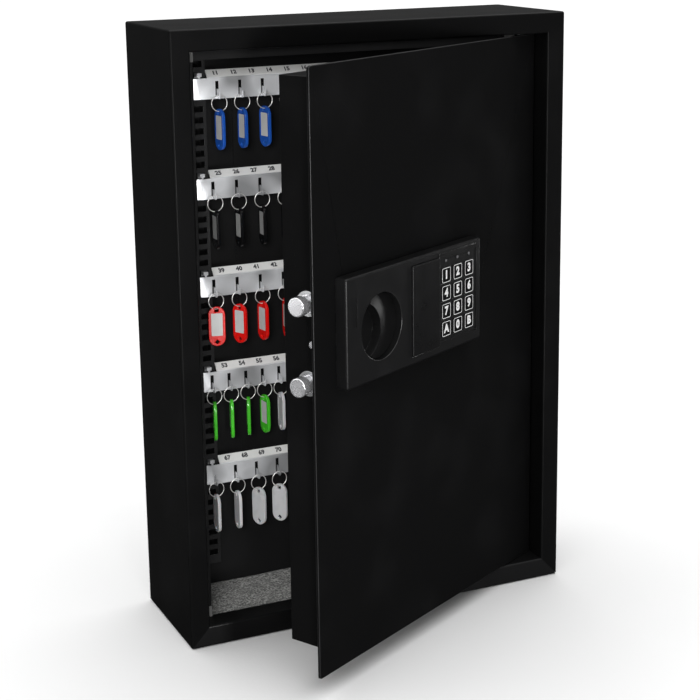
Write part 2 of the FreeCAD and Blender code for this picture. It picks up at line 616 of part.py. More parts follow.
def make_bolts():
    middle = "(knob_z + crank_radius * (sqrt(0.5) + 1) / 2)"
    carrier_v = ("bolt_depth - 1.5", "bolt_depth + 1")
    plate = box("carrier_plate", ("-carrier_u", "-knob_u + 15"), carrier_v,
                ("bolt_lower - 8", "bolt_upper + 8"))
    stud_u = "(-knob_u - crank_radius * sqrt(0.5))"
    slot = box("crank_slot", (stud_u + " - crank_pin - 0.8", stud_u + " + crank_pin + 0.8"),
               ("bolt_depth - 5", "bolt_depth + 5"), (middle + " - 5.2", middle + " + 5.2"))
    notch = box("plunger_notch", ("-plunger_u - 3.5", "-plunger_u + 3.5"), ("bolt_depth - 5", "bolt_depth + 5"),
                ("bolt_upper + 1", "bolt_upper + 9"))
    door_node(cut("carrier_cut", plate, slot, notch), "bolt_carrier")
    bolts = []
    bushes = []
    for z in ("bolt_upper", "bolt_lower"):
        bar = rod("bolt_bar", "x", "bolt_radius", "bolt_length", ("-bolt_tip", "bolt_depth", z))
        turned = round_edges("bolt_turned", bar, 1, lambda edge: at(edge, 0, -cell("bolt_tip")))
        ring = rod("neck_outer", "x", "bolt_radius + 1", "7", ("7.5 - bolt_tip", "bolt_depth", z))
        core = rod("neck_inner", "x", "bolt_radius - 1.2", "7", ("7.5 - bolt_tip", "bolt_depth", z))
        slit = box("carrier_slit", ("-carrier_u - 0.2", "-carrier_u + 5"), carrier_v, (z + " - 9", z + " + 9"))
        bolts.append(cut("bolt", turned, cut("neck", ring, core), slit))
        sleeve = rod("bush_sleeve", "x", "bolt_radius + 1.2", "4", ("-tray_free", "bolt_depth", z))
        collar = rod("bush_collar", "x", "bolt_radius + 2.6", "1", ("-tray_free - 1", "bolt_depth", z))
        bore = rod("bush_bore", "x", "bolt_radius + 0.05", "12", ("-tray_free - 4", "bolt_depth", z))
        bushes.append(cut("bolt_bush", fuse("bush_whole", sleeve, collar), bore))
    door_node(group("bolt_pair", *bolts), "locking_bolts")
    door_node(group("bolt_bush_pair", *bushes), "bolt_bushes")
    high = "bolt_upper + 8"
    coil = box("solenoid_case", ("-plunger_u - 8", "-plunger_u + 8"), ("bolt_depth - 6", "bolt_depth + 8"),
               (high + " + 8", high + " + 34"))
    bore = rod("solenoid_bore", "z", "3.05", "40", ("-plunger_u", "bolt_depth", high + " + 4"))
    door_node(cut("solenoid_cut", coil, bore), "solenoid_body")
    door_node(rod("plunger", "z", "3", "26", ("-plunger_u", "bolt_depth", high + " + 0.5")), "solenoid_plunger")


def make_batteries():
    low, high = "battery_z - 27.5", "battery_z + 27.5"
    rear = TRAY_REAR + " - tray_steel"
    case = box("case", ("-battery_u - 33", "-battery_u + 33"), ("battery_depth - 9.5", rear), (low, high))
    room = box("case_room", ("-battery_u - 31.5", "-battery_u + 31.5"), ("battery_depth - 8", TRAY_REAR),
               (low + " + 1.5", high + " - 1.5"))
    door_node(cut("case_cut", case, room), "battery_box")
    cells = []
    for n in range(4):
        u = "-battery_u + (%d - 1.5) * battery_pitch" % n
        cells.append(rod("battery", "z", "battery_radius", "battery_length",
                         (u, "battery_depth", "battery_z - battery_length / 2")))
    door_node(group("battery_set", *cells), "batteries")
    lid_v = (TRAY_REAR + " + lid_gap", TRAY_REAR + " + lid_gap + lid_thick")
    door_node(box("battery_cover", ("-battery_u - 34", "-battery_u + 34"), lid_v,
                  ("battery_z - 30", "battery_z + 30")), "battery_lid")


make_shell()
make_back()
make_stop()
make_hinge()
make_rails()
make_bars()
make_mat()
make_tags()
make_door()
make_panel()
make_knob()
make_bolts()
make_batteries()
doc.recompute()

# ---------------------------------------------------------------- check and write
for obj in doc.Objects:
    if "Invalid" in obj.State or "Error" in obj.State:
        raise RuntimeError("%s failed: %s" % (obj.Name, obj.State))
for obj in nodes:
    if obj.Shape.isNull() or not obj.Shape.isValid():
        raise RuntimeError("%s has no valid shape" % obj.Label)
    print("%-22s %2d solids  volume %10.1f" % (obj.Label, len(obj.Shape.Solids), obj.Shape.Volume))
print(len(nodes), "nodes")
os.makedirs("parts", exist_ok=True)
for obj in nodes:
    obj.Shape.exportStep("parts/%s.step" % obj.Label)
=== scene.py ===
"""Looks of a wall-mounted key cabinet with an electronic lock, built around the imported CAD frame.

All lengths are metres in the row frame. Pieces of the door are drawn in door coordinates (origin on the hinge
pin, free edge towards -X, outer face towards -Y) and are then placed by DOOR, the door's pose at rest.
"""
import bpy
import bmesh
import json
import math
from mathutils import Matrix, Vector

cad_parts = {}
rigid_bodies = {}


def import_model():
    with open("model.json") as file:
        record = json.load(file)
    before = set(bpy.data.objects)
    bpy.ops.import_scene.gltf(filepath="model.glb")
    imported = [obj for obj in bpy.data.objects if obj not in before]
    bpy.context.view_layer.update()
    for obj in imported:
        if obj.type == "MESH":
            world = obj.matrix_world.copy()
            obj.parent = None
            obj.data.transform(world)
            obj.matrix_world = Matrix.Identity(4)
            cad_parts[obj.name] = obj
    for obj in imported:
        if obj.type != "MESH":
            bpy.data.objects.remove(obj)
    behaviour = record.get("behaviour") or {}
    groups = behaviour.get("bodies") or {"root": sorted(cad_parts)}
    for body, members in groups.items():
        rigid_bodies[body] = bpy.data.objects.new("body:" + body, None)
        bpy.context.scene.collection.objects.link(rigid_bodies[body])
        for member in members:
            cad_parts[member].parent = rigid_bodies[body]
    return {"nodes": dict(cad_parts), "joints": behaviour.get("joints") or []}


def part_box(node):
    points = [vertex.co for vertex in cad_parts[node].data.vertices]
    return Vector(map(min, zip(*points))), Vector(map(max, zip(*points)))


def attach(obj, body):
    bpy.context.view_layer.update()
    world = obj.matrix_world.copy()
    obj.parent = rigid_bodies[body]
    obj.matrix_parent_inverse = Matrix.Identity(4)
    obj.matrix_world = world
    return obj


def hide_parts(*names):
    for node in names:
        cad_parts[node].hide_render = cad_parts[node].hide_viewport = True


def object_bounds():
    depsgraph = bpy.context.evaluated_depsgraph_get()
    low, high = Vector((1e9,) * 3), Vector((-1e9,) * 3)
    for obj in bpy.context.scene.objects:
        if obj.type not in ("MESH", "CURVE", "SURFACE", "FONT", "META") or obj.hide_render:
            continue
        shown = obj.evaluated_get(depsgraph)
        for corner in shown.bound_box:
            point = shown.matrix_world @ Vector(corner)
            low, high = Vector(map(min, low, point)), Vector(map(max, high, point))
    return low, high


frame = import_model()
cad_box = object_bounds()

MM = 0.001
# the imported meshes are split along their seams, where vertices lie nearer than this
SEAM = 1e-6
# outlines are drawn flat in the XY plane, and this stands them up in the XZ plane
UPRIGHT = Matrix.Rotation(math.radians(90), 4, "X")
NODES = frame["nodes"]
JOINTS = {joint["name"]: joint for joint in frame["joints"]}
HINGE = JOINTS["door_hinge"]
# the door's closed pose is the joint's lower limit
DOOR = Matrix.Translation(HINGE["pos_m"]) @ Matrix.Rotation(math.radians(-HINGE["range_deg"][0]), 4, "Z")
FROM_DOOR = DOOR.inverted()


# ---------------------------------------------------------------- materials
class Finish:
    """A Principled material whose colour, roughness and relief come from noise in object coordinates."""

    def __init__(self, name, colour, roughness, metallic=0.0, **sockets):
        self.material = bpy.data.materials.new(name)
        self.material.use_nodes = True
        self.tree = self.material.node_tree
        self.shader = self.tree.nodes["Principled BSDF"]
        self.colour = (*colour, 1.0)
        self.roughness = roughness
        self.shader.inputs["Base Color"].default_value = self.colour
        self.shader.inputs["Roughness"].default_value = roughness
        self.shader.inputs["Metallic"].default_value = metallic
        for socket, value in sockets.items():
            self.shader.inputs[socket.replace("_", " ").title().replace("Ior", "IOR")].default_value = value
        self.coordinates = self.add("ShaderNodeTexCoord").outputs["Object"]
        self.relief = None

    def add(self, kind, **settings):
        node = self.tree.nodes.new(kind)
        for name, value in settings.items():
            setattr(node, name, value)
        return node

    def link(self, output, socket):
        self.tree.links.new(output, socket)

    def noise(self, scale, detail=2.0, stretch=(1, 1, 1)):
        """A noise texture with this many cells per metre, stretched along the axes."""
        mapping = self.add("ShaderNodeMapping")
        mapping.inputs["Scale"].default_value = stretch
        self.link(self.coordinates, mapping.inputs["Vector"])
        noise = self.add("ShaderNodeTexNoise")
        noise.inputs["Scale"].default_value = scale
        noise.inputs["Detail"].default_value = detail
        self.link(mapping.outputs["Vector"], noise.inputs["Vector"])
        return noise.outputs["Fac"]

    def ranged(self, value, low, high, start=0.3, end=0.7):
        """A value remapped from start...end to low...high."""
        node = self.add("ShaderNodeMapRange")
        for name, number in (("From Min", start), ("From Max", end), ("To Min", low), ("To Max", high)):
            node.inputs[name].default_value = number
        self.link(value, node.inputs["Value"])
        return node.outputs["Result"]

    def vary_roughness(self, scale, amount, stretch=(1, 1, 1)):
        value = self.ranged(self.noise(scale, 4.0, stretch), self.roughness - amount, self.roughness + amount)
        self.link(value, self.shader.inputs["Roughness"])
        return self

    def vary_colour(self, scale, other, start=0.35, end=0.65, detail=4.0):
        """Blend the base colour towards another one in blotches of this many per metre."""
        mix = self.add("ShaderNodeMix", data_type="RGBA")
        source = self.shader.inputs["Base Color"]
        if source.is_linked:
            self.link(source.links[0].from_socket, mix.inputs["A"])
        else:
            mix.inputs["A"].default_value = self.colour
        mix.inputs["B"].default_value = (*other, 1.0)
        self.link(self.ranged(self.noise(scale, detail), 0.0, 1.0, start, end), mix.inputs["Factor"])
        self.link(mix.outputs["Result"], source)
        return self

    def emboss(self, scale, height, detail=2.0, stretch=(1, 1, 1)):
        """Raise noise of this many cells per metre by this height in metres."""
        bump = self.add("ShaderNodeBump")
        bump.inputs["Strength"].default_value = 1.0
        bump.inputs["Distance"].default_value = height
        self.link(self.noise(scale, detail, stretch), bump.inputs["Height"])
        if self.relief:
            self.link(self.relief, bump.inputs["Normal"])
        self.relief = bump.outputs["Normal"]
        self.link(self.relief, self.shader.inputs["Normal"])
        return self


def powder_coat(name, shade, roughness, specular):
    """Satin black powder coat with fine orange peel and faint handling marks."""
    finish = Finish(name, (shade, shade, shade * 1.03), roughness, specular_ior_level=specular)
    finish.vary_roughness(9, 0.05).vary_colour(14, (shade * 1.5, shade * 1.5, shade * 1.55), 0.5, 0.75)
    return finish.emboss(900, 0.00006).emboss(260, 0.00003).material


def rolled_metal(name, colour, roughness, metallic=1.0, grain=(1, 1, 12)):
    """Bright rolled metal whose grain runs along the axis with the small factor."""
    finish = Finish(name, colour, roughness, metallic)
    finish.vary_roughness(120, 0.06, grain).vary_colour(40, [c * 0.86 for c in colour], 0.45, 0.8)
    finish.vary_colour(22, [c * 0.5 for c in colour], 0.5, 0.68, 1.0)
    return finish.emboss(500, 0.00002, 3.0, grain).material


def polished(name, colour, roughness, metallic=1.0):
    finish = Finish(name, colour, roughness, metallic)
    finish.vary_roughness(120, roughness * 0.2).vary_colour(60, [c * 0.92 for c in colour], 0.5, 0.8)
    return finish.emboss(700, 0.0000008).material


def moulded(name, colour, roughness, grain=1800, height=0.00003, **sockets):
    """Injection-moulded plastic with a fine spark-eroded grain."""
    finish = Finish(name, colour, roughness, **sockets)
    finish.vary_roughness(60, 0.05).vary_colour(35, [min(1.0, c * 1.18 + 0.002) for c in colour], 0.5, 0.8)
    return finish.emboss(grain, height).material


def tag_plastic(name, colour):
    """Glossy, slightly translucent plastic of a key tag; a near-black one shines less."""
    near_black = 0.05
    gloss = 0.5 if max(colour) > near_black else 0.2
    finish = Finish(name, colour, 0.22, subsurface_weight=0.1, subsurface_scale=0.003,
                    specular_ior_level=gloss)
    finish.vary_roughness(150, 0.06).vary_colour(90, [c * 0.8 for c in colour], 0.5, 0.8)
    return finish.emboss(350, 0.00004).material


def felt():
    """Mottled grey needle felt of dark and light fibres."""
    finish = Finish("felt", (0.045, 0.045, 0.043), 0.95, sheen_weight=0.15, sheen_roughness=0.5)
    finish.vary_colour(600, (0.42, 0.42, 0.40), 0.42, 0.62, 5.0)
    finish.vary_colour(180, (0.13, 0.13, 0.125), 0.45, 0.8, 4.0)
    return finish.emboss(1400, 0.0005, 5.0).emboss(160, 0.0006).material


def paper(name, shade):
    """Card behind a clear cover: matt with a soft gloss coat."""
    finish = Finish(name, (shade, shade, shade * 0.985), 0.5, coat_weight=0.6, coat_roughness=0.12)
    finish.vary_roughness(200, 0.05).vary_colour(120, (shade * 0.9, shade * 0.9, shade * 0.88), 0.45, 0.8)
    return finish.emboss(1500, 0.00002).material


BLACK_STEEL = powder_coat("black_steel", 0.005, 0.34, 0.11)
# the door plate's rounded edges: a lighter, glossier coat, a painted highlight along them
EDGE_HIGHLIGHT_STEEL = powder_coat("edge_steel", 0.02, 0.32, 0.32)
INNER_STEEL = powder_coat("inner_steel", 0.006, 0.45, 0.13)
RAIL_STEEL = powder_coat("rail_steel", 0.011, 0.4, 0.25)
BAR_METAL = rolled_metal("bar_metal", (0.78, 0.79, 0.81), 0.34, 0.5)
CHROME = polished("bolt_chrome", (0.72, 0.72, 0.74), 0.24, 0.85)
WIRE = polished("ring_wire", (0.80, 0.79, 0.77), 0.32, 0.6)
PLAIN_STEEL = rolled_metal("plain_steel", (0.55, 0.55, 0.56), 0.35)
ZINC = rolled_metal("zinc_plate", (0.62, 0.63, 0.64), 0.3, 1.0, (1, 1, 1))
BRASS = polished("turned_brass", (0.72, 0.52, 0.22), 0.2)
LABEL_WHITE = paper("label_card", 0.66)
WINDOW_WHITE = paper("window_card", 0.5)
WINDOW_GREY = paper("window_grey", 0.32)
INK = moulded("ink", (0.03, 0.03, 0.035), 0.6, 2500, 0.00001)
LEGEND = moulded("legend_white", (0.70, 0.70, 0.70), 0.55, 2500, 0.00001)
PANEL = moulded("panel_black", (0.005, 0.005, 0.0052), 0.34, specular_ior_level=0.2)
# the rounded edges of the lock's panel and cover: a lighter, glossier plastic, a painted highlight along them
PANEL_EDGE_HIGHLIGHT = moulded("panel_edge", (0.012, 0.012, 0.0122), 0.28, specular_ior_level=0.6)
PANEL_SATIN = moulded("panel_satin", (0.004, 0.004, 0.0042), 0.32, 900, 0.00001, specular_ior_level=0.2)
KEY_RUBBER = moulded("key_rubber", (0.005, 0.005, 0.005), 0.6, 1500, 0.00002, specular_ior_level=0.12)
KNOB_PLASTIC = moulded("knob_black", (0.006, 0.006, 0.0062), 0.36, 1600, 0.00001, specular_ior_level=0.16)
PAD_GREY = moulded("pad_grey", (0.07, 0.07, 0.068), 0.7, 900, 0.0001)
BLACK_PLASTIC = moulded("black_plastic", (0.018, 0.018, 0.018), 0.5, 1200, 0.00004)
LENS = moulded("lens_clear", (0.12, 0.12, 0.125), 0.15, 800, 0.00001, specular_ior_level=0.6)
BOARD = moulded("circuit_board", (0.01, 0.09, 0.03), 0.4, 500, 0.00004)
CELL_WRAP = moulded("cell_wrap", (0.05, 0.05, 0.055), 0.3, 600, 0.00002)
FELT = felt()
TAG_COLOURS = {"blue": (0.012, 0.075, 0.36), "black": (0.004, 0.004, 0.0045), "red": (0.62, 0.008, 0.006),
               "green": (0.05, 0.42, 0.02), "white": (0.50, 0.50, 0.51)}
TAG_PLASTICS = {name: tag_plastic("tag_" + name, colour) for name, colour in TAG_COLOURS.items()}


# ---------------------------------------------------------------- carried-over CAD nodes
def sharp_corner_group(angle):
    """Geometry nodes that close the imported seams and shade smooth wherever faces meet under this angle."""
    group = bpy.data.node_groups.new("smooth_by_angle", "GeometryNodeTree")
    group.interface.new_socket("Geometry", in_out="INPUT", socket_type="NodeSocketGeometry")
    group.interface.new_socket("Geometry", in_out="OUTPUT", socket_type="NodeSocketGeometry")
    first = group.nodes.new("NodeGroupInput")
    last = group.nodes.new("NodeGroupOutput")
    merge = group.nodes.new("GeometryNodeMergeByDistance")
    merge.inputs["Distance"].default_value = SEAM
    bend = group.nodes.new("GeometryNodeInputMeshEdgeAngle")
    compare = group.nodes.new("FunctionNodeCompare")
    compare.operation = "LESS_THAN"
    compare.inputs["B"].default_value = angle
    smooth_faces = group.nodes.new("GeometryNodeSetShadeSmooth")
    smooth_edges = group.nodes.new("GeometryNodeSetShadeSmooth")
    smooth_edges.domain = "EDGE"
    link = group.links.new
    link(first.outputs[0], merge.inputs["Geometry"])
    link(merge.outputs["Geometry"], smooth_faces.inputs["Geometry"])
    link(smooth_faces.outputs["Geometry"], smooth_edges.inputs["Geometry"])
    link(bend.outputs["Unsigned Angle"], compare.inputs["A"])
    link(compare.outputs["Result"], smooth_edges.inputs["Shade Smooth"])
    link(smooth_edges.outputs["Geometry"], last.inputs[0])
    return group


SMOOTH_UNDER = math.radians(32)
ROUND_OVER = math.radians(40)
SMOOTHING = sharp_corner_group(SMOOTH_UNDER)


def soften(obj, width, edge=None):
    """Close seams, round the sharp edges by this width, and keep the flat faces flat.

    The rounded edges may have a lighter, glossier finish of their own, a painted highlight; they then keep
    their full width beside small holes.
    """
    obj.modifiers.new("smooth", "NODES").node_group = SMOOTHING
    if width:
        bevel = obj.modifiers.new("edges", "BEVEL")
        if edge:
            # the rounded edges get the lighter finish, a painted highlight
            obj.data.materials.append(edge)
            bevel.material = 1
            bevel.use_clamp_overlap = False
        bevel.width = width
        bevel.segments = 2
        bevel.limit_method = "ANGLE"
        bevel.angle_limit = ROUND_OVER
        weighted = obj.modifiers.new("normals", "WEIGHTED_NORMAL")
        weighted.keep_sharp = True
    return obj


def dress(material, width, *names, edge=None):
    """Give CAD nodes their material and edge rounding."""
    for name in names:
        obj = NODES[name]
        # imported normals would override the smoothing
        if "custom_normal" in obj.data.attributes:
            obj.data.attributes.remove(obj.data.attributes["custom_normal"])
        obj.data.materials.clear()
        obj.data.materials.append(material)
        soften(obj, width, edge=edge)


KEY_NAMES = [str(n) for n in range(1, 10)] + ["a", "0", "b"]
ROWS = range(1, 6)
dress(BLACK_STEEL, 0, "side_left", "side_right", "side_top", "side_bottom")
# its rounded edges carry the lighter edge coat, a painted highlight
dress(BLACK_STEEL, 0.6 * MM, "door_plate", edge=EDGE_HIGHLIGHT_STEEL)
dress(INNER_STEEL, 0.3 * MM, "back_panel", "stop_flange")
dress(BLACK_STEEL, 0.5 * MM, "door_tray")
dress(RAIL_STEEL, 0.25 * MM, "slotted_rails")
dress(BLACK_STEEL, 0.3 * MM, "hinge_brackets")
dress(PLAIN_STEEL, 0.2 * MM, "hinge_pins", "hinge_bushes")
dress(PAD_GREY, 0.4 * MM, "corner_bumpers")
dress(BAR_METAL, 0.12 * MM, *["hook_bar_%d" % row for row in ROWS])
dress(LABEL_WHITE, 0.08 * MM, "label_strips")
# the panel's and cover's rounded edges carry a painted highlight
dress(PANEL, 0.3 * MM, "lock_panel", edge=PANEL_EDGE_HIGHLIGHT)
dress(PANEL_SATIN, 0.4 * MM, "lock_cover", edge=PANEL_EDGE_HIGHLIGHT)
dress(KEY_RUBBER, 0.1 * MM, *["key_" + name for name in KEY_NAMES])
dress(LENS, 0.3 * MM, "indicator_lenses")
dress(BOARD, 0.1 * MM, "keypad_board")
dress(CHROME, 0.5 * MM, "screws")
dress(CHROME, 0.3 * MM, "locking_bolts")
dress(ZINC, 0.2 * MM, "bolt_bushes", "bolt_carrier", "knob_shaft", "solenoid_plunger")
dress(BRASS, 0.2 * MM, "emergency_lock_body", "emergency_lock_plug")
dress(BLACK_PLASTIC, 0.4 * MM, "solenoid_body", "battery_box", "battery_lid")
dress(CELL_WRAP, 0.8 * MM, "batteries")


# ---------------------------------------------------------------- building pieces
def piece(name, mesh, material, body, place=None):
    """Put a mesh in the scene as a piece that rides on a CAD body."""
    obj = bpy.data.objects.new(name, mesh)
    bpy.context.scene.collection.objects.link(obj)
    mesh.materials.clear()
    mesh.materials.append(material)
    for polygon in mesh.polygons:
        polygon.use_smooth = True
    if place is not None:
        obj.matrix_world = place
    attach(obj, body)
    return obj


def from_curve(curve):
    """The mesh of a curve or text."""
    holder = bpy.data.objects.new("curve", curve)
    mesh = bpy.data.meshes.new_from_object(holder)
    bpy.data.objects.remove(holder)
    return mesh


def outline_curve(outlines, depth, bevel=0.0):
    """A flat curve filled between closed outlines in the XY plane, this deep along Z, with rounded rims."""
    curve = bpy.data.curves.new("outline", "CURVE")
    curve.dimensions = "2D"
    curve.fill_mode = "BOTH"
    curve.extrude = depth / 2 - bevel
    curve.bevel_depth = bevel
    curve.bevel_resolution = 2
    curve.offset = -bevel
    for points in outlines:
        spline = curve.splines.new("POLY")
        spline.points.add(len(points) - 1)
        for target, (x, y) in zip(spline.points, points):
            target.co = (x, y, 0.0, 1.0)
        spline.use_cyclic_u = True
    return from_curve(curve)


def arc(centre_x, centre_y, radius, start, end, steps):
    """Points of an arc, angles in degrees."""
    turns = [math.radians(start + (end - start) * n / steps) for n in range(steps + 1)]
    return [(centre_x + radius * math.cos(t), centre_y + radius * math.sin(t)) for t in turns]


def rounded_rectangle(half_x, half_y, radius, steps=4, centre=(0.0, 0.0)):
    points = []
    for sign_x, sign_y, start in ((1, 1, 0), (-1, 1, 90), (-1, -1, 180), (1, -1, 270)):
        corner_x = centre[0] + sign_x * (half_x - radius)
        corner_y = centre[1] + sign_y * (half_y - radius)
        points += arc(corner_x, corner_y, radius, start, start + 90, steps)
    return points


def merged(name, parts):
    """One mesh of (mesh, matrix) copies; each copy keeps its own material index."""
    built = bmesh.new()
    for mesh, matrix in parts:
        copy = mesh.copy()
        copy.transform(matrix)
        built.from_mesh(copy)
        bpy.data.meshes.remove(copy)
    mesh = bpy.data.meshes.new(name)
    built.to_mesh(mesh)
    built.free()
    return mesh


def islands(name):
    """The separate solids of a CAD node, as lists of corner points, from left to right."""
    built = bmesh.new()
    built.from_mesh(NODES[name].data)
    bmesh.ops.remove_doubles(built, verts=built.verts, dist=SEAM)
    left = set(built.verts)
    found = []
    while left:
        stack = [left.pop()]
        points = []
        while stack:
            vertex = stack.pop()
            points.append(vertex.co.copy())
            for edge in vertex.link_edges:
                other = edge.other_vert(vertex)
                if other in left:
                    left.remove(other)
                    stack.append(other)
        found.append(points)
    built.free()
    return sorted(found, key=lambda points: sum(point.x for point in points) / len(points))


def middle(points):
    """The centre of the box around some points."""
    spans = [(min(p[axis] for p in points), max(p[axis] for p in points)) for axis in range(3)]
    return Vector([(low + high) / 2 for low, high in spans])


def facing_turn(points):
    """The turn about the vertical of a flat upright piece, from the spread of its points."""
    centre = middle(points)
    xx = sum((p.x - centre.x) ** 2 for p in points)
    yy = sum((p.y - centre.y) ** 2 for p in points)
    xy = sum((p.x - centre.x) * (p.y - centre.y) for p in points)
    return 0.5 * math.atan2(2 * xy, xx - yy)


# ---------------------------------------------------------------- key rings
def split_ring_mesh(radius, wire):
    """A wire wound nearly twice round, in the XZ plane, centred on its ring."""
    turns = 1.85
    # the ends stand this many wire radii to either side of the ring's plane
    lift = 1.1
    # the wire's section is a little flat
    flatness = 0.8
    # sections along the wire, and corners round it
    steps = 44
    sides = 8
    built = bmesh.new()
    sections = []
    for n in range(steps + 1):
        share = n / steps
        turn = 2 * math.pi * turns * share
        outward = Vector((math.cos(turn), 0.0, math.sin(turn)))
        centre = outward * radius + Vector((0.0, wire * lift * (2 * share - 1), 0.0))
        ring = []
        for side in range(sides):
            angle = 2 * math.pi * side / sides
            across = wire * flatness * math.sin(angle)
            offset = outward * (wire * math.cos(angle)) + Vector((0.0, across, 0.0))
            ring.append(built.verts.new(centre + offset))
        sections.append(ring)
    for first, second in zip(sections, sections[1:]):
        for side in range(sides):
            after = (side + 1) % sides
            built.faces.new((first[side], first[after], second[after], second[side]))
    built.faces.new(sections[0][::-1])
    built.faces.new(sections[-1])
    mesh = bpy.data.meshes.new("split_ring")
    built.to_mesh(mesh)
    built.free()
    return mesh


def make_rings():
    # the wire's radius as a share of the CAD ring's, and the turn from one ring to the next
    wire_share = 0.6
    spin_step = 1.3
    for row in ROWS:
        node = "rings_row_%d" % row
        found = islands(node)
        low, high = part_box(node)
        wire = (high.y - low.y) / 2
        radius = (high.z - low.z) / 2 - wire
        ring = split_ring_mesh(radius, wire * wire_share)
        copies = []
        for n, points in enumerate(found):
            # each ring sits on the hook a little differently
            spin = Matrix.Rotation(spin_step * n + row, 4, "Y")
            copies.append((ring, Matrix.Translation(middle(points)) @ spin))
        rings = piece("split_rings_%d" % row, merged(node, copies), WIRE, "tags_%d" % row)
        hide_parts(node)


# ---------------------------------------------------------------- key tags
TAG_HALF_WIDTH = 7.75 * MM
TAG_THICKNESS = 3 * MM
TAG_ROUNDING = 0.45 * MM
TAG_RIM = 2.5 * MM
WINDOW_TOP = 6.4 * MM
WINDOW_BOTTOM = 9.7 * MM
# the square eye lies this far below the tag's top end, and the diamond this far above its bottom end
EYE_HALF = 1.9 * MM
EYE_DEPTH = 3.4 * MM
DIAMOND_RADIUS = 2.4 * MM
DIAMOND_DEPTH = 3.8 * MM


def tag_meshes(length, windowed):
    """The frame of a tag with its two eyes, and the card or plain panel in its window.

    Drawn upright in the XZ plane with its middle at the origin.
    """
    half = length / 2
    straight = half - TAG_HALF_WIDTH
    body = arc(0, straight, TAG_HALF_WIDTH, 0, 180, 16) + arc(0, -straight, TAG_HALF_WIDTH, 180, 360, 16)
    top_eye = rounded_rectangle(EYE_HALF, EYE_HALF, 0.7 * MM, 3, (0.0, half - EYE_DEPTH))
    low_eye = arc(0, -half + DIAMOND_DEPTH, DIAMOND_RADIUS, 0, 270, 3)
    window_half = (length - WINDOW_TOP - WINDOW_BOTTOM) / 2
    window_centre = (WINDOW_BOTTOM - WINDOW_TOP) / 2
    window = rounded_rectangle(TAG_HALF_WIDTH - TAG_RIM, window_half, 0.8 * MM, 3, (0.0, window_centre))
    outlines = [body, top_eye, low_eye] + ([window] if windowed else [])
    frame_mesh = outline_curve(outlines, TAG_THICKNESS, TAG_ROUNDING)
    frame_mesh.transform(UPRIGHT)
    # the card tucks a little into the window's rim, and is thinner than the tag
    tuck = 0.05 * MM
    thinner = 0.5 * MM
    card_outline = rounded_rectangle(TAG_HALF_WIDTH - TAG_RIM + tuck, window_half + tuck, 0.5 * MM, 2,
                                     (0.0, window_centre))
    card = outline_curve([card_outline], TAG_THICKNESS - thinner)
    card.transform(UPRIGHT)
    return frame_mesh, card


# a clear tag hangs among the coloured ones, in this place from the left, counted from zero
CLEAR_TAGS = {"green": 4}


def make_tags():
    for row, colour in zip(ROWS, TAG_COLOURS):
        node = "tags_row_%d" % row
        found = islands(node)
        low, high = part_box(node)
        frame_mesh, card = tag_meshes(high.z - low.z, colour != "white")
        matrices = []
        for points in found:
            matrices.append(Matrix.Translation(middle(points)) @ Matrix.Rotation(facing_turn(points), 4, "Z"))
        stray = CLEAR_TAGS.get(colour)
        kept = [m for n, m in enumerate(matrices) if n != stray]
        frames = [piece("%s_tags" % colour, merged(node, [(frame_mesh, m) for m in kept]),
                        TAG_PLASTICS[colour], "tags_%d" % row)]
        if stray is not None:
            clear_mesh = merged(node + "_clear", [(frame_mesh, matrices[stray])])
            frames.append(piece("%s_row_clear_tag" % colour, clear_mesh, TAG_PLASTICS["white"],
                                "tags_%d" % row))
        for tags in frames:
            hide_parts(node)
        if colour == "white":
            continue
        card_material = WINDOW_GREY if colour == "black" else WINDOW_WHITE
        piece("%s_tag_cards" % colour, merged(node + "_cards", [(card, m) for m in matrices]), card_material,
              "tags_%d" % row)


# ---------------------------------------------------------------- lettering
# a capital's height as a share of the font size
CAPITAL = 0.69


def lettering(text, height, depth, weight):
    """Flat letters in the XY plane, centred on the origin."""
    curve = bpy.data.curves.new("letters", "FONT")
    curve.body = text
    curve.size = height / CAPITAL
    curve.offset = weight
    curve.extrude = depth
    curve.align_x = "CENTER"
    curve.align_y = "CENTER"
    curve.resolution_u = 3
    return from_curve(curve)


def make_strip_numbers():
    """Position numbers along each label strip, in one piece per row."""
    per_row = 14
    first_number = 11
    number_height = 4.2 * MM
    for row, points in zip(reversed(ROWS), sorted(islands("label_strips"), key=lambda p: middle(p).z)):
        centre = middle(points)
        length = max(p.x for p in points) - min(p.x for p in points)
        pitch = length / per_row
        # the strip's face looks forward and up at 45 degrees
        outward = Vector((0.0, -1.0, 1.0)).normalized()
        face = max(p.dot(outward) for p in points)
        at_face = centre + outward * (face - centre.dot(outward) - 0.01 * MM)
        tilt = Matrix.Rotation(math.radians(45), 4, "X")
        copies = []
        for n in range(per_row):
            number = per_row * (row - 1) + n + first_number
            digits = lettering(str(number), number_height, 0.04 * MM, 0.3 * MM)
            x = centre.x - length / 2 + pitch * (n + 0.5)
            copies.append((digits, Matrix.Translation((x, at_face.y, at_face.z)) @ tilt))
        piece("strip_numbers_%d" % row, merged("numbers_%d" % row, copies), INK, "cabinet")


def door_box(name):
    """A CAD node's box in door coordinates."""
    points = [FROM_DOOR @ vertex.co for vertex in NODES[name].data.vertices]
    return (Vector([min(p[axis] for p in points) for axis in range(3)]),
            Vector([max(p[axis] for p in points) for axis in range(3)]))


